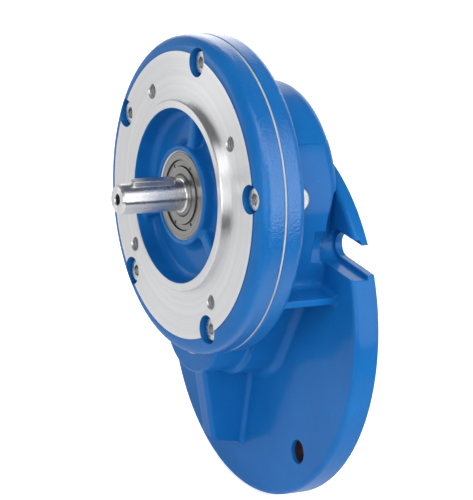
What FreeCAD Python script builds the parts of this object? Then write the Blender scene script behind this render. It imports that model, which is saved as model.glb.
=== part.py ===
import FreeCAD, Part
import os
from math import pi, sin, cos, tan, acos, atan, sqrt, radians, degrees
from FreeCAD import Vector as V

# Helical reduction unit, flange mounted. Millimetres.
# X right, Y towards the motor, Z up. The output axis is the Y axis, and the
# origin is the centre of the machined output face. The input axis runs
# parallel to it, CENTRE_DIST lower.

# ---------------------------------------------------------------- driving dimensions
CENTRE_DIST = 48.0          # output axis to input axis

# output face and cover
FACE_R = 52.5               # machined ring, outer radius
SPIGOT_R = 35.0             # centring spigot
SPIGOT_H = 2.5
SPIGOT_BORE_R = 31.7
FACE_PCD = 85.0             # four tapped holes
FACE_TAP_R = 2.5
RIM_R = 58.5                # painted rim of cover and housing
COVER_T = 10.0              # face to parting plane
DISH_Y = 5.5                # floor of the annular dish
HUB_R = 18.4
HUB_TOP = -0.3
BORE_CHAMFER = 0.8
SCREW_R = 50.5              # circle of the cover screws
SCREW_ANGLES = (18.0, 90.0, 162.0, 234.0, 306.0)
DOWEL_ANGLES = (54.0, 198.0)
RIB_ANGLES = (90.0, 210.0, 330.0)
RIB_W = 5.0
RIB_Y0, RIB_Y1 = 1.0, 0.6   # top of the ribs at the hub and at the spigot
GASKET_T = 0.5

# housing
RIM_BACK = 18.5
NECK_R = 40.5
NECK_BACK = 43.4
NECK_STEP = 0.3             # casting step along the neck
LOBE_R1 = 21.5              # pinion lobe, front part
LOBE_R2 = 23.2              # pinion lobe, bearing part
LOBE_STEP = 24.6
FLANGE_R = 70.0
FLANGE_Y0 = 38.7
FLANGE_THIN = 43.2          # front face of the flange above the bolt slots
FLANGE_Y1 = 48.5
FLANGE_PCD = 115.0
FLANGE_HOLE_R = 4.5
PILOT_R = 47.5
PILOT_Y = 44.5
CHAMBER_R = 37.8
CHAMBER_FLOOR = 26.0
SLOT_POCKET_R = 5.9         # seat of the nut in the open bolt slots
SLOT_POCKET_Y = 37.6
SLOT_SEAT_Y = 45.6
GROOVE_Y0 = 33.2            # shallow groove in the neck wall, in line with the slot
GROOVE_DEEP = 2.0
FIN_X, FIN_W = -2.5, 8.0    # upright fin under the pinion lobe
FIN_SLOPE = 0.272
PLUG_ANGLE = 16.0           # oil plug on the side of the neck
PLUG_Y = 23.2
PLUG_PAD = 42.3

# output shaft
NOSE_R = 5.5
NOSE_TIP = -26.0
SEAT_R = 7.5
KEY_W, KEY_H, KEY_DEPTH = 4.0, 4.0, 2.5
KEY_Y0, KEY_Y1 = -21.0, -3.0

# gear pair
MN, Z1, Z2 = 1.25, 18, 54
GEAR_Y0, GEAR_Y1 = 17.0, 25.0
TOOTH_THIN = 0.13           # taken off each tooth at the pitch circle
BETA = acos(MN * (Z1 + Z2) / (2.0 * CENTRE_DIST))

AX = -CENTRE_DIST           # height of the input axis
BOLT_D = FLANGE_PCD / 2.0 / sqrt(2.0)

YDIR = V(0, 1, 0)
os.makedirs("parts", exist_ok=True)


# ---------------------------------------------------------------- helpers
def cyl(r, y0, y1, x=0.0, z=0.0):
    return Part.makeCylinder(r, y1 - y0, V(x, y0, z), YDIR)


def tube(ro, ri, y0, y1, x=0.0, z=0.0):
    return cyl(ro, y0, y1, x, z).cut(cyl(ri, y0 - 1, y1 + 1, x, z))


def box(x0, x1, y0, y1, z0, z1):
    return Part.makeBox(x1 - x0, y1 - y0, z1 - z0, V(x0, y0, z0))


def polar(r, deg, y=0.0, z=0.0):
    return V(r * cos(radians(deg)), y, z + r * sin(radians(deg)))


def path(pts, to3):
    # pts: (a, b) corner points, or (am, bm, a, b) for an arc through a middle point
    edges = []
    cur = pts[0]
    for p in list(pts[1:]) + [pts[0]]:
        end = p[-2:]
        if sqrt((end[0] - cur[0]) ** 2 + (end[1] - cur[1]) ** 2) > 1e-6:
            if len(p) == 4:
                edges.append(Part.Arc(to3(*cur), to3(p[0], p[1]), to3(*end)).toShape())
            else:
                edges.append(Part.LineSegment(to3(*cur), to3(*end)).toShape())
        cur = end
    return Part.Wire(edges)


def arc(cx, cy, r, a0, a1):
    am = radians((a0 + a1) / 2.0)
    a1 = radians(a1)
    return (cx + r * cos(am), cy + r * sin(am), cx + r * cos(a1), cy + r * sin(a1))


def revolve(pts, z=0.0):
    w = path(pts, lambda r, y: V(r, y, 0))
    s = Part.Face(w).revolve(V(0, 0, 0), YDIR, 360)
    s.translate(V(0, 0, z))
    return s


def fuse(first, *others):
    return first.multiFuse(list(others)) if others else first


def cut(body, tools):
    for t in tools:
        body = body.cut(t)
    return body


def prism_x(pts, x0, x1):
    # outline in Y, Z, pushed along X
    return Part.Face(path(pts, lambda y, z: V(x0, y, z))).extrude(V(x1 - x0, 0, 0))


def prism_z(pts, z0, z1):
    # outline in X, Y, pushed along Z
    return Part.Face(path(pts, lambda x, y: V(x, y, z0))).extrude(V(0, 0, z1 - z0))


def prism_y(pts, y0, y1):
    # outline in X, Z, pushed along Y
    return Part.Face(path(pts, lambda x, z: V(x, y0, z))).extrude(V(0, y1 - y0, 0))


def hexagon(af, y0, y1, c):
    r = af / sqrt(3.0)
    return prism_y([(c.x + r * cos(radians(60 * k)), c.z + r * sin(radians(60 * k))) for k in range(6)], y0, y1)


def save(name, shape):
    solids = shape.Solids
    out = solids[0] if len(solids) == 1 else Part.Compound(solids)
    ok = all(s.isValid() for s in solids)
    bb = out.BoundBox
    print("%-28s solids %2d valid %s vol %.1f  [%.2f %.2f %.2f]..[%.2f %.2f %.2f]" % (
        name, len(solids), ok, out.Volume, bb.XMin, bb.YMin, bb.ZMin, bb.XMax, bb.YMax, bb.ZMax))
    out.exportStep("parts/%s.step" % name)


# ---------------------------------------------------------------- output cover
def make_cover():
    s = revolve([
        (16.0, HUB_TOP + BORE_CHAMFER), (16.0 + BORE_CHAMFER, HUB_TOP), (HUB_R - 0.9, HUB_TOP),
        arc(HUB_R - 0.9, HUB_TOP + 0.9, 0.9, -90, 0),
        (HUB_R, DISH_Y - 3.0), arc(HUB_R + 3.0, DISH_Y - 3.0, 3.0, 180, 90),
        (SPIGOT_BORE_R - 3.0, DISH_Y), arc(SPIGOT_BORE_R - 3.0, DISH_Y - 3.0, 3.0, 90, 0),
        (SPIGOT_BORE_R, -SPIGOT_H + 0.4), (SPIGOT_BORE_R + 0.4, -SPIGOT_H),
        (SPIGOT_R - 0.4, -SPIGOT_H), (SPIGOT_R, -SPIGOT_H + 0.4),
        (SPIGOT_R, 0.0), (FACE_R, 0.0), (FACE_R, 0.35),
        (56.6, 1.45, RIM_R, 5.2),
        (RIM_R, COVER_T - 0.3), (RIM_R - 0.3, COVER_T),
        (44.9, COVER_T), (44.9, 12.6), (44.5, 13.0), (42.0, 13.0), (42.0, COVER_T),
        (HUB_R + 3.0, COVER_T), arc(HUB_R + 3.0, COVER_T + 3.0, 3.0, -90, -180),
        (HUB_R, 14.5), (14.3, 14.5), (14.0, 14.2), (14.0, 10.0),
        (12.5, 10.0), (12.5, 9.2), (16.0, 9.2)])
    ribs = []
    for a in RIB_ANGLES:
        # rib outline: radial distance and depth
        w = path([(17.0, RIB_Y0), (20.5, RIB_Y0), (32.2, RIB_Y1), (32.2, 7.0), (17.0, 7.0)],
                 lambda r, y: V(r, y, -RIB_W / 2))
        b = Part.Face(w).extrude(V(0, 0, RIB_W))
        # its sloping top has rounded edges
        sl, q, h = (RIB_Y1 - RIB_Y0) / 11.7, 1.3, RIB_W / 2
        yt = RIB_Y0 - 4.5 * sl
        w = path([(-h, 8.0), (-h, yt + q), arc(-h + q, yt + q, q, 180, 270), (h - q, yt), arc(h - q, yt + q, q, -90, 0),
                  (h, 8.0)], lambda t, y: V(16.0, y, t))
        b = b.common(Part.Face(w).extrude(V(17.0, 17.0 * sl, 0)))
        b.rotate(V(0, 0, 0), YDIR, -a)
        ribs.append(b)
    s = fuse(s, *ribs).removeSplitter()
    roots = []
    for e in s.Edges:
        m = e.valueAt((e.FirstParameter + e.LastParameter) / 2.0)
        if m.y > 3.0 and HUB_R + 0.3 < sqrt(m.x ** 2 + m.z ** 2) < SPIGOT_BORE_R - 0.3:
            for a in RIB_ANGLES:
                u = polar(1.0, a)
                if m.x * u.x + m.z * u.z > 0 and abs(abs(m.z * u.x - m.x * u.z) - RIB_W / 2) < 0.05:
                    roots.append(e)
    s = s.makeFillet(1.5, roots)
    tools = []
    for a in SCREW_ANGLES:
        p = polar(SCREW_R, a)
        tools.append(cyl(5.25, -1.0, 7.0, p.x, p.z))
        tools.append(cyl(2.75, 6.0, 11.0, p.x, p.z))
    for k in range(4):
        p = polar(FACE_PCD / 2.0, 45 + 90 * k)
        tools.append(cyl(FACE_TAP_R, -0.5, 9.2, p.x, p.z))
        tools.append(Part.makeCone(FACE_TAP_R + 0.45, FACE_TAP_R, 0.45, V(p.x, 0, p.z), YDIR))
    for a in DOWEL_ANGLES:
        p = polar(SCREW_R, a)
        tools.append(cyl(2.0, 6.2, 11.0, p.x, p.z))
    # keep the bearing seat and spigot bore clear of the rib roots
    tools.append(cyl(16.0, -3.0, 9.2))
    return cut(s, tools)


def make_gasket():
    s = tube(RIM_R - 0.15, 45.0, COVER_T, COVER_T + GASKET_T)
    tools = [cyl(2.75, 9, 12, polar(SCREW_R, a).x, polar(SCREW_R, a).z) for a in SCREW_ANGLES]
    tools += [cyl(2.05, 9, 12, polar(SCREW_R, a).x, polar(SCREW_R, a).z) for a in DOWEL_ANGLES]
    return cut(s, tools)


def make_screws():
    out = []
    for a in SCREW_ANGLES:
        p = polar(SCREW_R, a)
        s = revolve([(0, 2.0), (3.85, 2.0), arc(3.85, 2.4, 0.4, -90, 0), (4.25, 7.0), (2.45, 7.0),
                     (2.45, 16.9), (2.0, 17.4), (0, 17.4)])
        s.translate(V(p.x, 0, p.z))
        s = s.cut(hexagon(4.0, 1.0, 4.7, p))
        out.append(s)
    return Part.Compound(out)


def make_dowels():
    out = []
    for a in DOWEL_ANGLES:
        p = polar(SCREW_R, a)
        s = revolve([(0, 6.3), (1.6, 6.3), (2.0, 6.7), (2.0, 14.5), (1.6, 14.9), (0, 14.9)])
        s.translate(V(p.x, 0, p.z))
        out.append(s)
    return Part.Compound(out)


# ---------------------------------------------------------------- housing
def make_housing():
    y0 = COVER_T + GASKET_T
    rim = revolve([(0, y0), (RIM_R - 0.3, y0), (RIM_R, y0 + 0.3), (RIM_R, RIM_BACK - 2.5),
                   arc(RIM_R - 2.5, RIM_BACK - 2.5, 2.5, 0, 90), (0, RIM_BACK)])
    nr = 4.5

    def neck_of(r):
        return revolve([(0, RIM_BACK - 2), (r + 4.0, RIM_BACK - 2), (r + 4.0, RIM_BACK),
                        arc(r + 4.0, RIM_BACK + 4.0, 4.0, -90, -180),
                        (r, NECK_BACK - nr), arc(r - nr, NECK_BACK - nr, nr, 0, 90),
                        (0, NECK_BACK)])
    neck = neck_of(NECK_R)
    # the lower part of the neck stands slightly proud, with upright side walls
    skirt = neck_of(NECK_R + NECK_STEP).common(box(-60, 60, 0, 60, -60, 27.9))
    walls = box(-NECK_R - NECK_STEP, NECK_R + NECK_STEP, RIM_BACK - 1, FLANGE_Y0 + 1, -23.0, 0.0)
    lobe = revolve([(0, y0), (LOBE_R1 - 1.2, y0), arc(LOBE_R1 - 1.2, y0 + 1.2, 1.2, -90, 0),
                    (LOBE_R1, LOBE_STEP - 1.3), arc(LOBE_R1 + 1.3, LOBE_STEP - 1.3, 1.3, 180, 90),
                    (LOBE_R2 - 1.0, LOBE_STEP), arc(LOBE_R2 - 1.0, LOBE_STEP + 1.0, 1.0, -90, 0),
                    (LOBE_R2, FLANGE_Y0 - 3.0), arc(LOBE_R2 + 3.0, FLANGE_Y0 - 3.0, 3.0, 180, 90),
                    (LOBE_R2 + 3.0, FLANGE_Y0 + 2.0), (0, FLANGE_Y0 + 2.0)], AX)
    flange = revolve([(0, FLANGE_Y0), (FLANGE_R - 2.0, FLANGE_Y0),
                      arc(FLANGE_R - 2.0, FLANGE_Y0 + 2.0, 2.0, -90, 0),
                      (FLANGE_R, FLANGE_Y1 - 0.25), (FLANGE_R - 0.25, FLANGE_Y1), (0, FLANGE_Y1)], AX)
    # above the bolt slots the flange is thinner
    thin = revolve([(0, FLANGE_THIN), (FLANGE_R - 2.0, FLANGE_THIN),
                    arc(FLANGE_R - 2.0, FLANGE_THIN + 2.0, 2.0, -90, 0),
                    (FLANGE_R, FLANGE_Y1 - 0.25), (FLANGE_R - 0.25, FLANGE_Y1), (0, FLANGE_Y1)], AX)
    above = box(-90, 90, FLANGE_Y0 - 1, FLANGE_Y1 + 1, AX + BOLT_D, 40)
    flange = flange.cut(above).fuse(thin.common(above))
    # tangent walls that join the neck to the pinion lobe
    g = (NECK_R - LOBE_R2) / CENTRE_DIST
    c = sqrt(1 - g * g)
    hull = prism_y([(NECK_R * c, -NECK_R * g), (LOBE_R2 * c, AX - LOBE_R2 * g),
                    (-LOBE_R2 * c, AX - LOBE_R2 * g), (-NECK_R * c, -NECK_R * g)], LOBE_STEP, FLANGE_Y0 + 1)
    # hollow curve where those walls meet the flange
    coves = []
    for sx in (-1, 1):
        w = path([(-1.0, FLANGE_Y0 - 3.0), (0.0, FLANGE_Y0 - 3.0), arc(3.0, FLANGE_Y0 - 3.0, 3.0, 180, 90),
                  (3.0, FLANGE_Y0 + 1.0), (-1.0, FLANGE_Y0 + 1.0)],
                 lambda d, y: V(sx * (LOBE_R2 + d) * c, y, AX - (LOBE_R2 + d) * g))
        k = sqrt(CENTRE_DIST ** 2 - (NECK_R - LOBE_R2) ** 2) - 6.0
        coves.append(Part.Face(w).extrude(V(sx * k * g, 0, k * c)))
        nx, q = NECK_R + NECK_STEP, 2.4
        coves.append(prism_z([(sx * (nx - 1), FLANGE_Y0 - q), (sx * nx, FLANGE_Y0 - q),
                              (sx * (nx + q - q * cos(pi / 4)), FLANGE_Y0 - q + q * sin(pi / 4), sx * (nx + q), FLANGE_Y0),
                              (sx * (nx + q), FLANGE_Y0 + 1), (sx * (nx - 1), FLANGE_Y0 + 1)],
                             -24.0, AX + BOLT_D - SLOT_POCKET_R))
    g1 = (NECK_R - LOBE_R1) / CENTRE_DIST
    c1 = sqrt(1 - g1 * g1)
    hull1 = prism_y([(NECK_R * c1, -NECK_R * g1), (LOBE_R1 * c1, AX - LOBE_R1 * g1),
                     (-LOBE_R1 * c1, AX - LOBE_R1 * g1), (-NECK_R * c1, -NECK_R * g1)], RIM_BACK - 1, LOBE_STEP + 1)
    # level gusset between rim and flange, flared where it meets the flange
    gz, gt, gf = -23.8, 1.25, 2.0
    ga, gb = RIM_BACK, FLANGE_Y0
    gx = sqrt(RIM_R ** 2 - gz ** 2) - 0.6
    gus = prism_x([(ga - 2, gz + gt), (gb - gf, gz + gt), arc(gb - gf, gz + gt + gf, gf, -90, 0),
                   (gb + 2, gz + gt + gf), (gb + 2, gz - gt - gf), (gb, gz - gt - gf),
                   arc(gb - gf, gz - gt - gf, gf, 0, 90), (ga - 2, gz - gt)], -gx, gx)
    # hollow curve between the gusset's top and the upright side walls
    gc = 3.0
    for sx in (-1, 1):
        nx, zt = NECK_R + NECK_STEP, gz + gt
        coves.append(prism_y([(sx * (nx - 1), gz), (sx * (nx + gc), gz), (sx * (nx + gc), zt),
                              (sx * (nx + gc - gc * cos(pi / 4)), zt + gc - gc * sin(pi / 4), sx * nx, zt + gc),
                              (sx * (nx - 1), zt + gc)], RIM_BACK - 1.0, FLANGE_Y0 + 1.0))
    # upright fin under the lobe, flared where it stands on the flange
    fw, ff, sl = FIN_W / 2, 1.8, FIN_SLOPE
    # its rounded front edge leans back towards the foot
    top, foot, rl, rr = AX - 8.0, -105.0, 1.0, 1.6
    yf = 17.45 + sl * (-foot - 70.0)
    w = path([(-fw, 52.0), (-fw, yf + rl), arc(-fw + rl, yf + rl, rl, 180, 270), (fw - rr, yf),
              arc(fw - rr, yf + rr, rr, -90, 0), (fw, 52.0)], lambda x, y: V(x, y, foot))
    front = Part.Face(w).extrude(V(0, -sl * (top - foot), top - foot))
    base = prism_z([(fw - 1, FLANGE_Y0 - ff), (fw, FLANGE_Y0 - ff), arc(fw + ff, FLANGE_Y0 - ff, ff, 180, 90),
                    (fw + ff, FLANGE_Y0 + 2), (-fw - ff, FLANGE_Y0 + 2), (-fw - ff, FLANGE_Y0),
                    arc(-fw - ff, FLANGE_Y0 - ff, ff, 90, 0), (-fw + 1, FLANGE_Y0 - ff)], foot, AX)
    side = prism_x([(10.0, AX - 9.0), (10.0, -80.0), (22.0, -92.6), (24.6, -98.6, 29.5, -100.4),
                    (FLANGE_Y0 - 2.5, -101.4), (FLANGE_Y0 + 1.5, -104.4), (FLANGE_Y0 + 1.5, AX - 9.0)], -20, 20)
    fin = front.fuse(base).common(side)
    fin.translate(V(FIN_X, 0, 0))
    # raised pad for the oil plug
    pa = PLUG_ANGLE
    pad = Part.makeCylinder(5.9, 4.0, polar(PLUG_PAD - 4.0, pa, PLUG_Y), polar(1.0, pa))
    body = fuse(rim, neck, skirt, walls, lobe, flange, hull, hull1, gus, fin, pad, *coves)

    tools = [
        cyl(45.0, y0 - 1, 14.0), cyl(CHAMBER_R, y0 - 1, CHAMBER_FLOOR),
        tube(28.0, 18.0, CHAMBER_FLOOR - 1, 37.5),
        cyl(14.0, CHAMBER_FLOOR - 1, 40.2),
        cyl(14.2, 16.5, 26.6, 0, AX), cyl(16.0, 25.6, PILOT_Y + 1, 0, AX),
        cyl(17.0, 39.6, 40.85, 0, AX),
        cyl(PILOT_R, PILOT_Y, FLANGE_Y1 + 1, 0, AX),
        Part.makeCone(PILOT_R, PILOT_R + 0.8, 0.8, V(0, FLANGE_Y1 - 0.8, AX), YDIR),
        Part.makeCone(16.0, 16.6, 0.6, V(0, PILOT_Y - 0.6, AX), YDIR),
        Part.makeCylinder(3.2, 10.0, polar(36.5, pa, PLUG_Y), polar(1.0, pa)),
        # spot face under the plug's washer
        Part.makeCylinder(5.1, 8.0, polar(PLUG_PAD, pa, PLUG_Y), polar(1.0, pa)),
    ]
    for a in SCREW_ANGLES:
        p = polar(SCREW_R, a)
        tools.append(cyl(2.5, y0 - 1, 17.6, p.x, p.z))
    for a in DOWEL_ANGLES:
        p = polar(SCREW_R, a)
        tools.append(cyl(2.0, y0 - 1, 15.0, p.x, p.z))
    bz = AX + BOLT_D
    for sx in (-1, 1):
        bx = sx * BOLT_D
        # open bolt slot, wider at the front to seat the nut
        tools.append(cyl(FLANGE_HOLE_R, FLANGE_Y0 - 1, FLANGE_Y1 + 1, bx, bz))
        tools.append(box(min(bx, sx * 90), max(bx, sx * 90), FLANGE_Y0 - 1, FLANGE_Y1 + 1,
                         bz - FLANGE_HOLE_R, bz + FLANGE_HOLE_R))
        tools.append(cyl(SLOT_POCKET_R, SLOT_POCKET_Y, SLOT_SEAT_Y, bx, bz))
        tools.append(box(min(bx, sx * 90), max(bx, sx * 90), SLOT_POCKET_Y, SLOT_SEAT_Y,
                         bz - SLOT_POCKET_R, bz + SLOT_POCKET_R))
        # shallow groove that lets the bolt's nut past the neck wall
        gr = (SLOT_POCKET_R ** 2 + GROOVE_DEEP ** 2) / (2.0 * GROOVE_DEEP)
        tools.append(cyl(gr, GROOVE_Y0, SLOT_POCKET_Y + 0.5, sx * (NECK_R + NECK_STEP - GROOVE_DEEP + gr), bz))
        # the back of the neck is cut away beside the slot
        wedge = [(FLANGE_THIN, 13.5), (40.4, 12.0), (38.2, 4.0), (SLOT_POCKET_Y, bz + 3.0),
                 (SLOT_POCKET_Y, bz), (FLANGE_THIN, bz)]
        tools.append(prism_x(wedge, min(sx * 34.5, sx * 70), max(sx * 34.5, sx * 70)))
        # lower bolt holes: open on the right, closed at the front on the left
        tools.append(cyl(FLANGE_HOLE_R, FLANGE_Y0 - 8 if sx > 0 else FLANGE_Y0 + 1.5, FLANGE_Y1 + 1, bx, AX - BOLT_D))
    return cut(body, tools)


def radial(shape):
    # built along +Y from the origin, turned to point outwards at the plug's place
    shape.rotate(V(0, 0, 0), V(0, 0, 1), -90)
    shape.rotate(V(0, 0, 0), YDIR, -PLUG_ANGLE)
    shape.translate(polar(PLUG_PAD, PLUG_ANGLE, PLUG_Y))
    return shape


def make_plug():
    s = revolve([(0, -3.6), (2.8, -3.6), (3.15, -3.2), (3.15, 0.8), (4.6, 0.8), (4.6, 2.1),
                 arc(4.0, 2.1, 0.6, 0, 90), (0, 2.7)])
    s = s.cut(hexagon(4.0, 0.4, 5.0, V(0, 0, 0)))
    return radial(s)


def make_plug_washer():
    return radial(tube(4.9, 3.25, 0.0, 0.8))


# ---------------------------------------------------------------- gears
def involute(x):
    return tan(x) - x


def gear_solid(z, hand, phase, y0, y1, steps, axis_z):
    mt = MN / cos(BETA)
    at = atan(tan(radians(20.0)) / cos(BETA))
    r = mt * z / 2.0
    rb, ra, rf = r * cos(at), r + MN, r - 1.25 * MN
    half = pi / (2 * z) - TOOTH_THIN / (2 * r)

    def psi(rr):
        return half + involute(at) - involute(acos(min(1.0, rb / rr)))
    rs = max(rb, rf)
    radii = [rs + (ra - rs) * (k / 4.0) ** 1.3 for k in range(5)]
    ymid = (y0 + y1) / 2.0

    def section(y):
        turn = phase + hand * (y - ymid) * tan(BETA) / r
        P = lambda rr, th: V(rr * cos(th), y, axis_z + rr * sin(th))
        edges = []
        for k in range(z):
            c = turn + 2 * pi * k / z
            n = turn + 2 * pi * (k + 1) / z
            up = [P(q, c - psi(q)) for q in radii]
            dn = [P(q, c + psi(q)) for q in reversed(radii)]
            if rf < rb:
                edges.append(Part.LineSegment(P(rf, c - psi(rs)), up[0]).toShape())
            b = Part.BSplineCurve()
            b.interpolate(up)
            edges.append(b.toShape())
            edges.append(Part.Arc(up[-1], P(ra, c), dn[0]).toShape())
            b = Part.BSplineCurve()
            b.interpolate(dn)
            edges.append(b.toShape())
            if rf < rb:
                edges.append(Part.LineSegment(dn[-1], P(rf, c + psi(rs))).toShape())
            edges.append(Part.Arc(P(rf, c + psi(rs)), P(rf, (c + n) / 2.0), P(rf, n - psi(rs))).toShape())
        return edges

    rows = [section(y0 + (y1 - y0) * k / steps) for k in range(steps + 1)]
    faces = [Part.Face(Part.Wire(rows[0])), Part.Face(Part.Wire(rows[-1]))]
    for lo, hi in zip(rows[:-1], rows[1:]):
        for e0, e1 in zip(lo, hi):
            faces.append(Part.makeRuledSurface(e0, e1))
    comp = Part.Compound(faces)
    comp.sewShape(1e-4)
    sh = comp.Shells[0]
    s = Part.Solid(sh)
    if s.Volume < 0:
        s.reverse()
    return s


def make_wheel():
    s = gear_solid(Z2, 1.0, -pi / 2.0 + pi / Z2, GEAR_Y0, GEAR_Y1, 2, 0.0)
    tools = [cyl(SEAT_R, GEAR_Y0 - 1, GEAR_Y1 + 1),
             box(-2.5, 2.5, GEAR_Y0 - 1, GEAR_Y1 + 1, 0.0, 9.9),
             tube(31.0, 13.5, GEAR_Y0 - 1, GEAR_Y0 + 2.0), tube(31.0, 13.5, GEAR_Y1 - 2.0, GEAR_Y1 + 1),
             # the teeth stop short of the pinion's collar
             tube(40.0, 30.5, GEAR_Y1 - 0.3, GEAR_Y1 + 1)]
    for k in range(6):
        p = polar(22.3, 30 + 60 * k)
        tools.append(cyl(4.0, GEAR_Y0, GEAR_Y1, p.x, p.z))
    return cut(s, tools)


def make_pinion():
    teeth = gear_solid(Z1, -1.0, pi / 2.0, GEAR_Y0, GEAR_Y1, 3, AX)
    shaft = revolve([(0, GEAR_Y0 + 0.5), (9.0, GEAR_Y0 + 0.5), (9.0, GEAR_Y1), (11.4, GEAR_Y1), (11.4, 25.6),
                     (10.0, 25.6), (10.0, 43.6), (9.4, 44.2), (0, 44.2)], AX)
    s = teeth.fuse(shaft)
    tools = [cyl(5.5, 20.5, 45.0, 0, AX), box(-2.0, 2.0, 24.0, 45.0, AX, AX + 7.3),
             cyl(7.4, 21.5, 24.0, 0, AX),
             Part.makeCone(5.5, 6.1, 0.6, V(0, 43.6, AX), YDIR),
             tube(11.0, 9.5, 39.6, 40.85, 0, AX)]
    return cut(s, tools)


# ---------------------------------------------------------------- shafts, keys, rings
def slot_key(w, y0, y1, z0, z1):
    # round-ended bar lying along Y
    r = w / 2.0
    return prism_z([(-r, y0 + r), arc(0, y0 + r, r, 180, 360), (r, y1 - r), arc(0, y1 - r, r, 0, 180)], z0, z1)


def make_output_shaft():
    s = revolve([(0, NOSE_TIP), (NOSE_R - 0.8, NOSE_TIP), (NOSE_R, NOSE_TIP + 0.8),
                 (NOSE_R, -1.0), arc(NOSE_R + 0.6, -1.0, 0.6, 180, 90), (SEAT_R - 0.5, -0.4),
                 (SEAT_R, 0.1), (SEAT_R, GEAR_Y1), (10.0, GEAR_Y1), (10.0, 31.4), (SEAT_R, 31.4),
                 (SEAT_R, 38.2), (SEAT_R - 0.6, 38.8), (0, 38.8)])
    tools = [slot_key(KEY_W, KEY_Y0, KEY_Y1, NOSE_R - KEY_DEPTH, NOSE_R + 3),
             slot_key(5.0, GEAR_Y0 + 0.2, GEAR_Y1 - 0.2, SEAT_R - 3.0, SEAT_R + 0.1),
             cyl(1.65, NOSE_TIP - 1, NOSE_TIP + 11.0),
             Part.makeCone(2.25, 1.65, 0.9, V(0, NOSE_TIP, 0), YDIR)]
    return cut(s, tools)


def make_nose_key():
    k = slot_key(KEY_W, KEY_Y0, KEY_Y1, NOSE_R - KEY_DEPTH, NOSE_R - KEY_DEPTH + KEY_H)
    top = [e for e in k.Edges if abs(e.BoundBox.ZMin - (NOSE_R - KEY_DEPTH + KEY_H)) < 1e-4
           and abs(e.BoundBox.ZMax - (NOSE_R - KEY_DEPTH + KEY_H)) < 1e-4]
    return k.makeChamfer(0.25, top)


def make_gear_key():
    return slot_key(5.0, GEAR_Y0 + 0.2, GEAR_Y1 - 0.2, SEAT_R - 3.0, SEAT_R + 2.0)


def make_sleeve():
    return tube(10.0, SEAT_R, 9.2, GEAR_Y0)


def make_seal(ro, ri, y0, y1, z):
    # lip seal: outer case, thin web, lip that leans inwards, and a garter bead
    w = y1 - y0
    return revolve([(ro, y0 + 0.3), (ro - 0.3, y0), (ri + 1.4, y0), (ri + 0.06, y0 + 0.45 * w),
                    (ri + 0.5, y0 + 0.8 * w), (ri + 1.3, y0 + 0.8 * w), (ri + 2.0, y0 + 0.34 * w),
                    (ro - 1.2, y0 + 0.34 * w), (ro - 1.2, y1), (ro, y1)], z)


def make_internal_circlip():
    s = tube(16.95, 13.5, 39.6, 40.8, 0, AX)
    tools = [box(-3.0, 3.0, 39, 42, AX, AX + 20)]
    for sx in (-1, 1):
        tools.append(cyl(0.8, 39, 42, sx * 4.9, AX + 14.4))
    return cut(s, tools)


def make_shaft_circlip():
    s = tube(12.3, 9.55, 39.6, 40.8, 0, AX)
    tools = [box(-2.0, 2.0, 39, 42, AX - 20, AX)]
    for sx in (-1, 1):
        tools.append(cyl(0.7, 39, 42, sx * 3.6, AX - 10.3))
    return cut(s, tools)


def make_shim():
    return tube(13.7, 11.2, 38.45, 40.2)


# ---------------------------------------------------------------- ball bearings
def bearing(name, bore, outer, width, y0, n, ball, pitch, ri, ro, cage_w, z, cage_t=0.6, slits=()):
    yc = y0 + width / 2.0
    clear = 0.07
    groove = Part.makeTorus(pitch, ball + clear, V(0, yc, z), YDIR)
    c = 0.4
    inner = revolve([(bore, y0 + c), (bore + c, y0), (ri, y0), (ri, y0 + width),
                     (bore + c, y0 + width), (bore, y0 + width - c)], z).cut(groove)
    outer_ring = revolve([(ro, y0), (outer - c, y0), (outer, y0 + c), (outer, y0 + width - c),
                          (outer - c, y0 + width), (ro, y0 + width)], z).cut(groove)
    balls, pockets = [], []
    for k in range(n):
        a = (360.0 * k + 180.0) / n
        balls.append(Part.makeSphere(ball, polar(pitch, a, yc, z)))
        pockets.append(Part.makeCylinder(ball + 0.14, 4.0, polar(pitch - 2.0, a, yc, z), polar(1.0, a)))
    ring = revolve([(pitch - cage_t, yc - cage_w / 2.0), (pitch + cage_t, yc - cage_w / 2.0),
                    (pitch + cage_t, yc + cage_w / 2.0), (pitch - cage_t, yc + cage_w / 2.0)], z)
    for a in slits:
        # short radial slit in the front of the cage
        b = box(pitch - 0.65, pitch + 0.65, yc - cage_w / 2.0 - 1.0, yc - cage_w / 2.0 + 1.0, -0.45, 0.45)
        b.rotate(V(0, 0, 0), YDIR, -a)
        b.translate(V(0, 0, z))
        pockets.append(b)
    cage = cut(ring, pockets)
    save(name + "_inner_race", inner)
    save(name + "_outer_race", outer_ring)
    save(name + "_balls", Part.Compound(balls))
    save(name + "_cage", cage)


save("housing", make_housing())
save("output_cover", make_cover())
save("cover_gasket", make_gasket())
save("cover_screws", make_screws())
save("cover_dowel_pins", make_dowels())
save("oil_plug", make_plug())
save("oil_plug_washer", make_plug_washer())
save("output_shaft", make_output_shaft())
save("output_shaft_key", make_nose_key())
save("output_gear", make_wheel())
save("output_gear_key", make_gear_key())
save("output_spacer_sleeve", make_sleeve())
save("output_oil_seal", make_seal(14.0, 10.02, 10.0, 14.2, 0.0))
save("output_shim_washer", make_shim())
save("input_pinion_shaft", make_pinion())
save("input_oil_seal", make_seal(16.0, 10.02, 41.0, 44.4, AX))
save("input_bearing_circlip", make_internal_circlip())
save("input_shaft_circlip", make_shaft_circlip())
bearing("output_front_bearing", SEAT_R, 16.0, 9.0, 0.2, 9, 2.381, 11.75, 10.5, 13.0, 7.8, 0.0, 0.95,
        (15.0, 75.0, 135.0, 195.0, 255.0, 315.0))
bearing("output_rear_bearing", SEAT_R, 14.0, 7.0, 31.4, 11, 1.75, 10.75, 9.75, 11.75, 5.0, 0.0)
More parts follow.
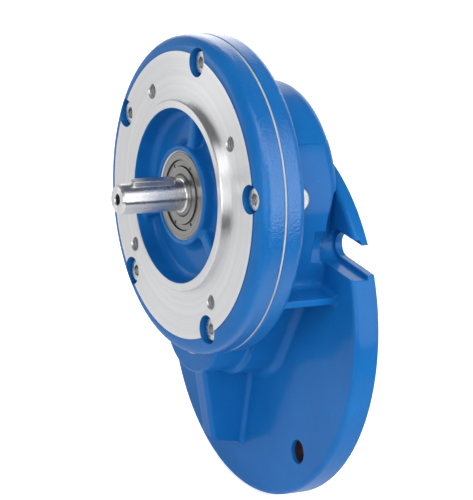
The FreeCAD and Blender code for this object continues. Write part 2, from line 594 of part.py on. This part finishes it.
bearing("input_front_bearing", 10.0, 16.0, 7.0, 25.6, 13, 1.75, 13.0, 12.0, 14.0, 5.0, AX)
bearing("input_rear_bearing", 10.0, 16.0, 7.0, 32.6, 13, 1.75, 13.0, 12.0, 14.0, 5.0, AX)
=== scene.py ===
import math
import bpy
from mathutils import Matrix, Vector


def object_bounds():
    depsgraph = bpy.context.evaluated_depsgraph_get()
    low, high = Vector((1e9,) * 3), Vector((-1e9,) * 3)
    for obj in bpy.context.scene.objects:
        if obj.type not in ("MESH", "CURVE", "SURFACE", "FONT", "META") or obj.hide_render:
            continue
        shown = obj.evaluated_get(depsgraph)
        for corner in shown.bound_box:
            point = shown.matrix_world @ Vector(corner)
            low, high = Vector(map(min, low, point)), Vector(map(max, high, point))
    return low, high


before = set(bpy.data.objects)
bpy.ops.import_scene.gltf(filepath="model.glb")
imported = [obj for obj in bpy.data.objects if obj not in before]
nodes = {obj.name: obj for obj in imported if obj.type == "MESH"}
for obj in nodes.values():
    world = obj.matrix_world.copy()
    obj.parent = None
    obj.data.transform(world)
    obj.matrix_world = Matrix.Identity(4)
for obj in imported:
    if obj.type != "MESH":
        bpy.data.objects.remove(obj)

cad_lo, cad_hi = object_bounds()
MM = 0.001
IN_Z = -48.0 * MM            # height of the input axis


# ---------------------------------------------------------------- material helper
class Mat:
    """A principled material with short calls for the nodes that feed it."""

    def __init__(self, name):
        self.m = bpy.data.materials.new(name)
        self.m.use_nodes = True
        self.nt = self.m.node_tree
        self.nt.nodes.clear()
        self.out = self.add("ShaderNodeOutputMaterial")
        self.bsdf = self.add("ShaderNodeBsdfPrincipled")
        self.link(self.bsdf.outputs["BSDF"], self.out.inputs["Surface"])
        self.P = self.add("ShaderNodeTexCoord").outputs["Object"]
        s = self.add("ShaderNodeSeparateXYZ")
        self.link(self.P, s.inputs[0])
        self.x, self.y, self.z = s.outputs

    def add(self, kind, **props):
        n = self.nt.nodes.new(kind)
        for k, v in props.items():
            setattr(n, k, v)
        return n

    def link(self, a, b):
        self.nt.links.new(a, b)

    def put(self, value, socket):
        if isinstance(value, bpy.types.NodeSocket):
            self.link(value, socket)
        else:
            socket.default_value = value

    def set(self, **values):
        for k, v in values.items():
            self.put(v, self.bsdf.inputs[k.replace("_", " ")])

    def f(self, op, a, b=None, c=None, clamp=False):
        n = self.add("ShaderNodeMath", operation=op, use_clamp=clamp)
        for v, s in zip((a, b, c), n.inputs):
            if v is not None:
                self.put(v, s)
        return n.outputs[0]

    def step(self, value, lo, hi):
        """0 at lo, 1 at hi, smooth between them; hi may be below lo."""
        n = self.add("ShaderNodeMapRange", interpolation_type="SMOOTHSTEP", clamp=True)
        flip = hi < lo
        self.put(value, n.inputs["Value"])
        n.inputs["From Min"].default_value = min(lo, hi)
        n.inputs["From Max"].default_value = max(lo, hi)
        n.inputs["To Min"].default_value = 1.0 if flip else 0.0
        n.inputs["To Max"].default_value = 0.0 if flip else 1.0
        return n.outputs["Result"]

    def scale(self, value, lo, hi, to_lo, to_hi):
        n = self.add("ShaderNodeMapRange", clamp=True)
        self.put(value, n.inputs["Value"])
        for k, v in zip(("From Min", "From Max", "To Min", "To Max"), (lo, hi, to_lo, to_hi)):
            n.inputs[k].default_value = v
        return n.outputs["Result"]

    def all_of(self, *masks):
        out = masks[0]
        for m in masks[1:]:
            out = self.f("MULTIPLY", out, m)
        return out

    def any_of(self, *masks):
        out = masks[0]
        for m in masks[1:]:
            out = self.f("MAXIMUM", out, m)
        return out

    def vec(self, x, y, z):
        n = self.add("ShaderNodeCombineXYZ")
        for v, s in zip((x, y, z), n.inputs):
            self.put(v, s)
        return n.outputs[0]

    def noise(self, size_mm, detail=2.0, rough=0.5, at=None, dist=0.0):
        n = self.add("ShaderNodeTexNoise")
        self.link(at if at is not None else self.P, n.inputs["Vector"])
        n.inputs["Scale"].default_value = 1.0 / (size_mm * MM)
        n.inputs["Detail"].default_value = detail
        n.inputs["Roughness"].default_value = rough
        n.inputs["Distortion"].default_value = dist
        return n.outputs["Fac"]

    def cells(self, size_mm, at=None, out="Distance", feature="F1"):
        n = self.add("ShaderNodeTexVoronoi", feature=feature)
        self.link(at if at is not None else self.P, n.inputs["Vector"])
        n.inputs["Scale"].default_value = 1.0 / (size_mm * MM)
        return n.outputs[out]

    def radius(self, axis_z=0.0):
        dz = self.f("SUBTRACT", self.z, axis_z)
        return self.f("SQRT", self.f("ADD", self.f("MULTIPLY", self.x, self.x), self.f("MULTIPLY", dz, dz)))

    def mix(self, fac, a, b):
        n = self.add("ShaderNodeMix", data_type="RGBA")
        self.put(fac, n.inputs[0])
        for v, s in ((a, n.inputs[6]), (b, n.inputs[7])):
            self.put(v if isinstance(v, bpy.types.NodeSocket) else (*v, 1.0), s)
        return n.outputs[2]

    def mixf(self, fac, a, b):
        n = self.add("ShaderNodeMix", data_type="FLOAT")
        self.put(fac, n.inputs[0])
        self.put(a, n.inputs[2])
        self.put(b, n.inputs[3])
        return n.outputs[0]

    def bump(self, height, depth_mm, strength=1.0, normal=None):
        n = self.add("ShaderNodeBump")
        n.inputs["Strength"].default_value = strength
        n.inputs["Distance"].default_value = depth_mm * MM
        self.put(height, n.inputs["Height"])
        if normal is not None:
            self.link(normal, n.inputs["Normal"])
        return n.outputs["Normal"]

    def soft_edge(self, mm, samples=4):
        n = self.add("ShaderNodeBevel", samples=samples)
        n.inputs["Radius"].default_value = mm * MM
        return n.outputs["Normal"]

    def normal_y(self):
        g = self.add("ShaderNodeNewGeometry")
        s = self.add("ShaderNodeSeparateXYZ")
        self.link(g.outputs["True Normal"], s.inputs[0])
        return s.outputs[1]


def give(mat, *names):
    for n in names:
        d = nodes[n].data
        d.materials.clear()
        d.materials.append(mat.m)


# ---------------------------------------------------------------- paint and bare casting
PAINT = (0.0070, 0.152, 0.468)
PAINT_DEEP = (0.0055, 0.130, 0.420)
PAINT_THIN = (0.020, 0.205, 0.560)
COAT, COAT_RIM = 0.26, 1.0   # clear top of the enamel, fuller on the rim


def paint_layers(m):
    """Colour, roughness and normal of the blue enamel: slow shade drift, fine grain of the casting under it, orange peel."""
    drift = m.noise(28.0, 3.0, 0.55)
    grain = m.noise(0.9, 2.0, 0.6)
    peel = m.noise(1.7, 1.0, 0.4)
    pits = m.cells(2.6)
    col = m.mix(m.scale(drift, 0.35, 0.65, 0.0, 1.0), PAINT_DEEP, PAINT)
    speck = m.scale(grain, 0.58, 0.74, 0.0, 0.30)
    col = m.mix(speck, col, PAINT_THIN)
    rough = m.f("ADD", m.scale(drift, 0.3, 0.7, 0.34, 0.42), m.scale(grain, 0.3, 0.7, -0.03, 0.05))
    soft = m.soft_edge(0.8, 6)
    n = m.bump(peel, 0.10, 0.25, soft)
    edge = m.scale(m.radius(), 0.0565, 0.0578, 0.0, 1.0)
    rim = m.all_of(edge, m.step(m.y, 0.0192, 0.0186))
    n = m.bump(m.f("MULTIPLY", grain, m.scale(rim, 0.0, 1.0, 0.55, 4.0)), 0.09, 0.38, n)
    n = m.bump(m.scale(pits, 0.0, 0.22, 0.0, 1.0), 0.05, 0.18, n)
    gloss = m.bump(m.f("MULTIPLY", grain, m.scale(rim, 0.0, 1.0, 1.0, 12.0)), 0.07, 0.22, m.bump(peel, 0.08, 0.20, soft))
    round_side = m.all_of(rim, m.step(m.radius(), 0.0592, 0.0588), m.step(m.f("ABSOLUTE", m.normal_y()), 0.60, 0.35))
    return col, rough, n, gloss, m.scale(round_side, 0.0, 1.0, COAT, COAT_RIM)


def turned_layers(m, r, bright=(0.80, 0.80, 0.805), dull=(0.66, 0.66, 0.67)):
    """Colour, roughness and normal of a turned face: fine rings about the axis with a few deeper tool lines."""
    rings = m.noise(0.22, 3.0, 0.7, m.vec(r, 0.0, 0.0))
    broad = m.noise(2.3, 2.0, 0.5, m.vec(r, 0.0, 0.0))
    patch = m.noise(16.0, 2.0, 0.5)
    t = m.f("ADD", m.f("MULTIPLY", rings, 0.55), m.f("MULTIPLY", broad, 0.45))
    col = m.mix(m.scale(t, 0.34, 0.66, 0.0, 1.0), dull, bright)
    rough = m.f("ADD", m.scale(rings, 0.3, 0.7, 0.26, 0.38), m.scale(patch, 0.3, 0.7, -0.03, 0.03))
    n = m.bump(rings, 0.02, 0.30, m.soft_edge(0.15))
    return col, rough, n


def cast_layers(m):
    """Raw inside of the casting: grey, matt and slightly grained."""
    a = m.noise(0.8, 3.0, 0.6)
    b = m.noise(9.0, 2.0, 0.5)
    col = m.mix(m.scale(b, 0.3, 0.7, 0.0, 1.0), (0.40, 0.41, 0.42), (0.52, 0.53, 0.54))
    return col, m.scale(a, 0.3, 0.7, 0.48, 0.66), m.bump(a, 0.08, 0.4)


def cover_material():
    m = Mat("blue_enamel_cover")
    r = m.radius()
    wob = m.f("MULTIPLY", m.f("SUBTRACT", m.noise(3.0), 0.5), 0.00012)
    rw = m.f("ADD", r, wob)
    faces_front = m.step(m.normal_y(), -0.35, -0.65)
    flat = m.all_of(m.step(m.y, 0.00034, 0.00022), m.step(rw, 0.0319, 0.0320), m.step(rw, 0.05262, 0.05252),
                    m.any_of(faces_front, m.step(r, 0.0354, 0.0352)))
    ax = m.f("SUBTRACT", m.f("ABSOLUTE", m.x), 0.042500 / math.sqrt(2.0))
    az = m.f("SUBTRACT", m.f("ABSOLUTE", m.z), 0.042500 / math.sqrt(2.0))
    hole_d = m.f("SQRT", m.f("ADD", m.f("MULTIPLY", ax, ax), m.f("MULTIPLY", az, az)))
    hole = m.step(hole_d, 0.00330, 0.00320)
    seat = m.step(rw, 0.01635, 0.01625)
    back = m.step(m.y, 0.0097, 0.0099)
    bare = m.any_of(flat, hole, seat, back)
    pc, pr, pn, pg, pw = paint_layers(m)
    tc, tr, tn = turned_layers(m, r)
    # thread lines down the tapped holes as painted shade: the helix is real, but its dark stripes and the darker bore
    # stand in for the shade of the unmodelled thread grooves
    turn = m.f("ARCTAN2", az, ax)
    pitch = m.f("SINE", m.f("ADD", m.f("MULTIPLY", m.y, 2.0 * math.pi / 0.001), turn))
    inside = m.all_of(hole, m.step(m.y, 0.0006, 0.0008))
    tc = m.mix(m.f("MULTIPLY", inside, m.scale(pitch, -0.6, 0.8, 0.10, 0.85)), tc, (0.30, 0.30, 0.31))
    n = m.add("ShaderNodeMix", data_type="VECTOR")
    m.put(bare, n.inputs[0])
    m.link(pn, n.inputs[4])
    m.link(tn, n.inputs[5])
    # metallic is lowered inside the tapped holes, part of the painted thread shade
    m.set(Base_Color=m.mix(bare, pc, tc), Metallic=m.f("SUBTRACT", bare, m.f("MULTIPLY", inside, 0.65)),
          Roughness=m.mixf(bare, pr, tr), Normal=n.outputs[1])
    m.set(Specular_IOR_Level=0.08, Coat_Weight=m.f("MULTIPLY", pw, m.f("SUBTRACT", 1.0, bare)), Coat_Roughness=0.10, Coat_IOR=1.45,
          Coat_Normal=pg)
    m.set(Anisotropic=0.6, Anisotropic_Rotation=0.25)
    m.link(m.add("ShaderNodeTangent", direction_type="RADIAL", axis="Y").outputs[0], m.bsdf.inputs["Tangent"])
    return m


def housing_material():
    m = Mat("blue_enamel_housing")
    r, r2 = m.radius(), m.radius(IN_Z)
    ny = m.normal_y()
    rear = m.all_of(m.step(m.y, 0.0478, 0.0480), m.any_of(m.step(ny, 0.35, 0.6), m.step(r2, 0.0486, 0.0484)))
    pilot = m.all_of(m.step(m.y, 0.0442, 0.0444), m.step(r2, 0.0486, 0.0484))
    bore = m.all_of(m.step(m.y, 0.0253, 0.0255), m.step(r2, 0.0173, 0.0172))
    front = m.all_of(m.step(m.y, 0.01062, 0.01056), m.step(r, 0.0586, 0.0584))
    seat = m.all_of(m.step(r, 0.0453, 0.0451), m.step(m.y, 0.0141, 0.0140))
    inner = m.all_of(m.step(r, 0.0380, 0.0379), m.step(m.y, 0.0377, 0.0376))
    inner2 = m.all_of(m.step(r2, 0.0144, 0.0143), m.step(m.y, 0.0268, 0.0267))
    outer_bore = m.all_of(m.step(r, 0.0143, 0.0142), m.step(m.y, 0.0405, 0.0404))
    bare = m.any_of(rear, pilot, bore, front, seat, outer_bore)
    hx = m.f("SUBTRACT", m.f("ABSOLUTE", m.x), 0.0406585)
    hz = m.f("SUBTRACT", m.z, IN_Z - 0.0406585)
    hole_d = m.f("SQRT", m.f("ADD", m.f("MULTIPLY", hx, hx), m.f("MULTIPLY", hz, hz)))
    drilled_hole_shade = m.all_of(m.step(hole_d, 0.00462, 0.00455), m.step(m.y, 0.0400, 0.0404))
    raw = m.any_of(inner, inner2)
    pc, pr, pn, pg, pw = paint_layers(m)
    tc, tr, tn = turned_layers(m, r2)
    cc, cr, cn = cast_layers(m)
    # painted shade: the walls of the drilled flange holes get a near-black purple-brown for the dark inside of the
    # holes
    pc = m.mix(drilled_hole_shade, pc, (0.040, 0.022, 0.030))
    col = m.mix(bare, m.mix(raw, pc, cc), tc)
    rough = m.mixf(bare, m.mixf(raw, pr, cr), tr)
    metal = m.any_of(bare, m.f("MULTIPLY", raw, 0.85))
    n = m.add("ShaderNodeMix", data_type="VECTOR")
    m.put(m.any_of(bare, raw), n.inputs[0])
    m.link(pn, n.inputs[4])
    m.link(tn, n.inputs[5])
    m.set(Base_Color=col, Metallic=metal, Roughness=rough, Normal=n.outputs[1])
    m.set(Specular_IOR_Level=0.08, Coat_Weight=m.f("MULTIPLY", pw, m.f("SUBTRACT", 1.0, m.any_of(bare, raw))),
          Coat_Roughness=0.10, Coat_IOR=1.45, Coat_Normal=pg)
    return m


# ---------------------------------------------------------------- steels
def steel(name, light, dark, r_lo, r_hi, along="axis", fine=0.16, axis_z=0.0, depth=0.015, edge=0.12, aniso=0.0,
          shoulder=None):
    """Ground or turned steel: fine lines round the axis, slow stains, softened edges; beyond the shoulder radius it is
    dull, and the centre hole (radius under 2 mm) is painted near-black as shade.
    """
    m = Mat(name)
    if along == "axis":
        at = m.vec(0.0, m.y, 0.0)
    elif along == "face":
        at = m.vec(m.radius(axis_z), m.y, 0.0)
    else:
        at = m.P
    lines = m.noise(fine, 3.0, 0.7, at)
    stain = m.noise(7.0, 3.0, 0.55)
    t = m.f("ADD", m.f("MULTIPLY", lines, 0.6), m.f("MULTIPLY", stain, 0.4))
    if along == "face":
        broad = m.noise(0.75, 1.0, 0.5, m.vec(m.radius(axis_z), 0.0, 0.0))
        t = m.f("ADD", m.f("MULTIPLY", t, 0.45), m.f("MULTIPLY", m.scale(broad, 0.38, 0.62, 0.22, 0.78), 0.55))
    col = m.mix(m.scale(t, 0.33, 0.67, 0.0, 1.0), dark, light)
    rough = m.f("ADD", m.scale(lines, 0.3, 0.7, r_lo, r_hi), m.scale(stain, 0.3, 0.7, -0.02, 0.03))
    if shoulder:
        wide = m.step(m.radius(axis_z), shoulder - 0.0001, shoulder + 0.0001)
        col = m.mix(wide, col, m.mix(m.scale(t, 0.33, 0.67, 0.0, 1.0), (0.22, 0.22, 0.22), (0.32, 0.32, 0.315)))
        rough = m.mixf(wide, rough, 0.38)
        # painted shade: the centre hole in the shaft end is coloured near-black
        centre_hole_shade = m.step(m.radius(axis_z), 0.0021, 0.0019)
        col = m.mix(centre_hole_shade, col, (0.06, 0.06, 0.065))
        rough = m.mixf(centre_hole_shade, rough, 0.5)
    m.set(Base_Color=col, Metallic=1.0, Roughness=rough)
    m.set(Normal=m.bump(lines, depth, 0.25, m.soft_edge(edge)))
    if aniso:
        m.set(Anisotropic=aniso, Anisotropic_Rotation=0.25)
        m.link(m.add("ShaderNodeTangent", direction_type="RADIAL", axis="Y").outputs[0], m.bsdf.inputs["Tangent"])
    return m


def rubber():
    m = Mat("seal_rubber")
    a = m.noise(0.5, 2.0, 0.6)
    b = m.noise(4.0, 2.0, 0.5)
    m.set(Base_Color=m.mix(m.scale(b, 0.3, 0.7, 0.0, 1.0), (0.010, 0.010, 0.011), (0.022, 0.022, 0.024)))
    m.set(Roughness=m.scale(a, 0.3, 0.7, 0.42, 0.62), Normal=m.bump(a, 0.03, 0.3, m.soft_edge(0.12)))
    return m


def gasket_paper():
    m = Mat("gasket_fibre")
    a = m.noise(0.35, 3.0, 0.7, m.vec(m.x, m.f("MULTIPLY", m.y, 2.0), m.z))
    b = m.noise(6.0, 2.0, 0.5)
    t = m.f("ADD", m.f("MULTIPLY", a, 0.6), m.f("MULTIPLY", b, 0.4))
    m.set(Base_Color=m.mix(m.scale(t, 0.35, 0.65, 0.0, 1.0), (0.44, 0.44, 0.42), (0.66, 0.66, 0.63)))
    m.set(Roughness=m.scale(a, 0.3, 0.7, 0.6, 0.8), Normal=m.bump(a, 0.05, 0.4))
    return m


def zinc(name="bright_zinc", dark=(0.62, 0.62, 0.60), light=(0.80, 0.80, 0.80), r_lo=0.20, r_hi=0.34):
    m = Mat(name)
    a = m.noise(0.5, 3.0, 0.6)
    b = m.noise(2.4, 2.0, 0.5)
    m.set(Base_Color=m.mix(m.scale(b, 0.3, 0.7, 0.0, 1.0), dark, light), Metallic=1.0)
    m.set(Roughness=m.scale(a, 0.3, 0.7, r_lo, r_hi), Normal=m.bump(a, 0.02, 0.25, m.soft_edge(0.12)))
    return m


give(cover_material(), "output_cover")
give(housing_material(), "housing")
give(gasket_paper(), "cover_gasket")
give(zinc(), "cover_screws")
give(zinc("dull_zinc", (0.40, 0.42, 0.45), (0.52, 0.54, 0.57), 0.40, 0.55), "oil_plug")
give(steel("ground_shaft", (0.78, 0.78, 0.785), (0.70, 0.70, 0.71), 0.24, 0.28, "axis", 0.14, aniso=0.95, shoulder=0.0062),
     "output_shaft", "output_spacer_sleeve")
give(steel("ground_pins", (0.76, 0.76, 0.765), (0.68, 0.68, 0.69), 0.18, 0.26, "axis", 0.14), "cover_dowel_pins")
give(steel("key_bar", (0.68, 0.68, 0.69), (0.58, 0.58, 0.59), 0.26, 0.38, "grain", 0.6, depth=0.03), "output_shaft_key",
     "output_gear_key", "output_shim_washer")
give(steel("bearing_rings", (0.34, 0.335, 0.325), (0.24, 0.24, 0.235), 0.26, 0.36, "face", 0.2), *[
    "output_front_bearing_" + k for k in ("inner_race", "outer_race")], *[
    "output_rear_bearing_" + k for k in ("inner_race", "outer_race")])
give(steel("bearing_rings_input", (0.34, 0.335, 0.325), (0.24, 0.24, 0.235), 0.26, 0.36, "face", 0.2, IN_Z), *[
    b + k for b in ("input_front_bearing_", "input_rear_bearing_") for k in ("inner_race", "outer_race")])
give(steel("bearing_balls", (0.66, 0.66, 0.67), (0.58, 0.58, 0.60), 0.05, 0.10, "grain", 2.0, depth=0.004), *[
    b + "_balls" for b in ("output_front_bearing", "output_rear_bearing", "input_front_bearing", "input_rear_bearing")])
give(steel("bearing_cages", (0.34, 0.34, 0.33), (0.24, 0.24, 0.235), 0.34, 0.48, "grain", 0.7, depth=0.03), *[
    b + "_cage" for b in ("output_front_bearing", "output_rear_bearing", "input_front_bearing", "input_rear_bearing")])
give(steel("gear_steel", (0.42, 0.42, 0.43), (0.30, 0.30, 0.31), 0.25, 0.36, "grain", 0.5, depth=0.02), "output_gear")
give(steel("pinion_steel", (0.42, 0.42, 0.43), (0.30, 0.30, 0.31), 0.22, 0.34, "axis", 0.16, IN_Z), "input_pinion_shaft")
give(steel("spring_steel", (0.10, 0.10, 0.105), (0.055, 0.055, 0.06), 0.34, 0.48, "grain", 0.5, depth=0.02),
     "input_bearing_circlip", "input_shaft_circlip")
give(rubber(), "output_oil_seal", "input_oil_seal")
give(steel("soft_aluminium", (0.74, 0.74, 0.75), (0.62, 0.62, 0.63), 0.32, 0.44, "grain", 0.5, depth=0.02), "oil_plug_washer")


# ---------------------------------------------------------------- stage, light, camera
def make_floor():
    me = bpy.data.meshes.new("stage_floor")
    s, z = 6.0, cad_lo.z - 0.0002
    me.from_pydata([(-s, -s, z), (s, -s, z), (s, s, z), (-s, s, z)], [], [(0, 1, 2, 3)])
    o = bpy.data.objects.new("stage_floor", me)
    bpy.context.scene.collection.objects.link(o)
    mat = bpy.data.materials.new("pale_floor")
    mat.use_nodes = True
    nt = mat.node_tree
    nt.nodes.clear()
    out = nt.nodes.new("ShaderNodeOutputMaterial")
    card = nt.nodes.new("ShaderNodeBsdfDiffuse")
    where = nt.nodes.new("ShaderNodeTexCoord")
    away = nt.nodes.new("ShaderNodeSeparateXYZ")
    nt.links.new(where.outputs["Object"], away.inputs[0])
    far = nt.nodes.new("ShaderNodeMapRange")
    far.interpolation_type = "SMOOTHSTEP"
    for k, v in zip(("From Min", "From Max", "To Min", "To Max"), (TABLE_EDGE, TABLE_EDGE + 0.08, 0.0, 1.0)):
        far.inputs[k].default_value = v
    nt.links.new(away.outputs["X"], far.inputs["Value"])
    lift = nt.nodes.new("ShaderNodeEmission")
    lift.inputs["Color"].default_value = (1, 1, 1, 1)
    lp = nt.nodes.new("ShaderNodeLightPath")
    unseen = nt.nodes.new("ShaderNodeMath")
    unseen.operation = "SUBTRACT"
    unseen.inputs[0].default_value = 1.0
    nt.links.new(lp.outputs["Is Camera Ray"], unseen.inputs[1])
    dim = nt.nodes.new("ShaderNodeMath")
    dim.operation = "MULTIPLY"
    nt.links.new(far.outputs["Result"], dim.inputs[0])
    nt.links.new(unseen.outputs[0], dim.inputs[1])
    tone = nt.nodes.new("ShaderNodeMix")
    tone.data_type = "RGBA"
    nt.links.new(dim.outputs[0], tone.inputs[0])
    tone.inputs[6].default_value = (0.88, 0.88, 0.88, 1)
    tone.inputs[7].default_value = (0.03, 0.03, 0.03, 1)
    nt.links.new(tone.outputs[2], card.inputs["Color"])
    keep = nt.nodes.new("ShaderNodeMath")
    keep.operation = "SUBTRACT"
    keep.inputs[0].default_value = 1.0
    nt.links.new(dim.outputs[0], keep.inputs[1])
    more = nt.nodes.new("ShaderNodeMath")
    more.operation = "MULTIPLY_ADD"
    nt.links.new(lp.outputs["Is Camera Ray"], more.inputs[0])
    more.inputs[1].default_value = FLOOR_SEEN
    more.inputs[2].default_value = FLOOR_LIFT
    shine = nt.nodes.new("ShaderNodeMath")
    shine.operation = "MULTIPLY_ADD"
    nt.links.new(lp.outputs["Is Glossy Ray"], shine.inputs[0])
    shine.inputs[1].default_value = FLOOR_GLOSS
    nt.links.new(more.outputs[0], shine.inputs[2])
    held = nt.nodes.new("ShaderNodeMath")
    held.operation = "MULTIPLY"
    nt.links.new(shine.outputs[0], held.inputs[0])
    nt.links.new(keep.outputs[0], held.inputs[1])
    nt.links.new(held.outputs[0], lift.inputs["Strength"])
    both = nt.nodes.new("ShaderNodeAddShader")
    nt.links.new(card.outputs[0], both.inputs[0])
    nt.links.new(lift.outputs[0], both.inputs[1])
    nt.links.new(both.outputs[0], out.inputs["Surface"])
    me.materials.append(mat)


def softbox(name, at, aim, w, h, radiance, colour=(1, 1, 1)):
    d = bpy.data.lights.new(name, "AREA")
    d.shape = "RECTANGLE"
    d.size, d.size_y = w, h
    d.energy = radiance * math.pi * w * h
    d.color = colour
    o = bpy.data.objects.new(name, d)
    bpy.context.scene.collection.objects.link(o)
    o.location = at
    o.rotation_mode = "QUATERNION"
    o.rotation_quaternion = (Vector(aim) - Vector(at)).to_track_quat("-Z", "Y")
    o.visible_camera = False
    return o


def make_world():
    w = bpy.data.worlds.new("studio")
    bpy.context.scene.world = w
    w.use_nodes = True
    nt = w.node_tree
    nt.nodes.clear()
    out = nt.nodes.new("ShaderNodeOutputWorld")
    lit = nt.nodes.new("ShaderNodeBackground")
    lit.inputs["Color"].default_value = (0.97, 0.98, 1.0, 1)
    tc = nt.nodes.new("ShaderNodeTexCoord")
    sep = nt.nodes.new("ShaderNodeSeparateXYZ")
    nt.links.new(tc.outputs["Generated"], sep.inputs[0])
    rise = nt.nodes.new("ShaderNodeMapRange")
    rise.interpolation_type = "SMOOTHSTEP"
    for k, v in zip(("From Min", "From Max", "To Min", "To Max"), (0.12, 0.62, WALLS, CEILING)):
        rise.inputs[k].default_value = v
    nt.links.new(sep.outputs["Z"], rise.inputs["Value"])
    nt.links.new(rise.outputs["Result"], lit.inputs["Strength"])
    seen = nt.nodes.new("ShaderNodeBackground")
    seen.inputs["Color"].default_value = (1, 1, 1, 1)
    seen.inputs["Strength"].default_value = 1.0
    lp = nt.nodes.new("ShaderNodeLightPath")
    mx = nt.nodes.new("ShaderNodeMixShader")
    nt.links.new(lp.outputs["Is Camera Ray"], mx.inputs[0])
    nt.links.new(lit.outputs[0], mx.inputs[1])
    nt.links.new(seen.outputs[0], mx.inputs[2])
    nt.links.new(mx.outputs[0], out.inputs["Surface"])


TABLE_EDGE = 0.20            # the white of the table ends here on the right, for light and reflections
FLOOR_LIFT = 0.15
FLOOR_SEEN = 0.60            # extra for the camera alone, so that the floor runs out to white
FLOOR_GLOSS = 0.05           # extra in reflections
WALLS, CEILING = 0.52, 0.16
make_floor()
make_world()
C = (0.0, 0.015, -0.03)
softbox("key_right", (0.95, 0.35, 0.44), C, 0.85, 1.4, 2.55)
softbox("top_front", (0.62, -0.45, 0.95), C, 0.7, 0.7, 3.0)
softbox("card_left", (-0.90, -0.76, 0.02), C, 0.50, 0.60, 2.1)
softbox("front_fill", (0.82, -0.92, 0.27), C, 0.8, 0.7, 2.6)
softbox("backdrop", (-1.00, 0.75, 0.30), C, 1.4, 1.1, 1.6)

cam_d = bpy.data.cameras.new("camera")
cam_d.sensor_width = 36.0
cam_d.sensor_fit = "AUTO"
cam_d.lens = 2926.5 * 36.0 / 500.0
cam_d.clip_start, cam_d.clip_end = 0.05, 20.0
cam = bpy.data.objects.new("camera", cam_d)
bpy.context.scene.collection.objects.link(cam)
R, U, B = (0.47916, 0.86995, 0.11659), (-0.35274, 0.06922, 0.93316), (0.80373, -0.48826, 0.34004)
cam.matrix_world = Matrix(((R[0], U[0], B[0], 0.87203), (R[1], U[1], B[1], -0.50332),
                           (R[2], U[2], B[2], 0.34566), (0, 0, 0, 1)))
bpy.context.scene.camera = cam
bpy.context.scene.view_settings.view_transform = "Standard"
bpy.context.scene.view_settings.look = "None"

bpy.context.view_layer.update()
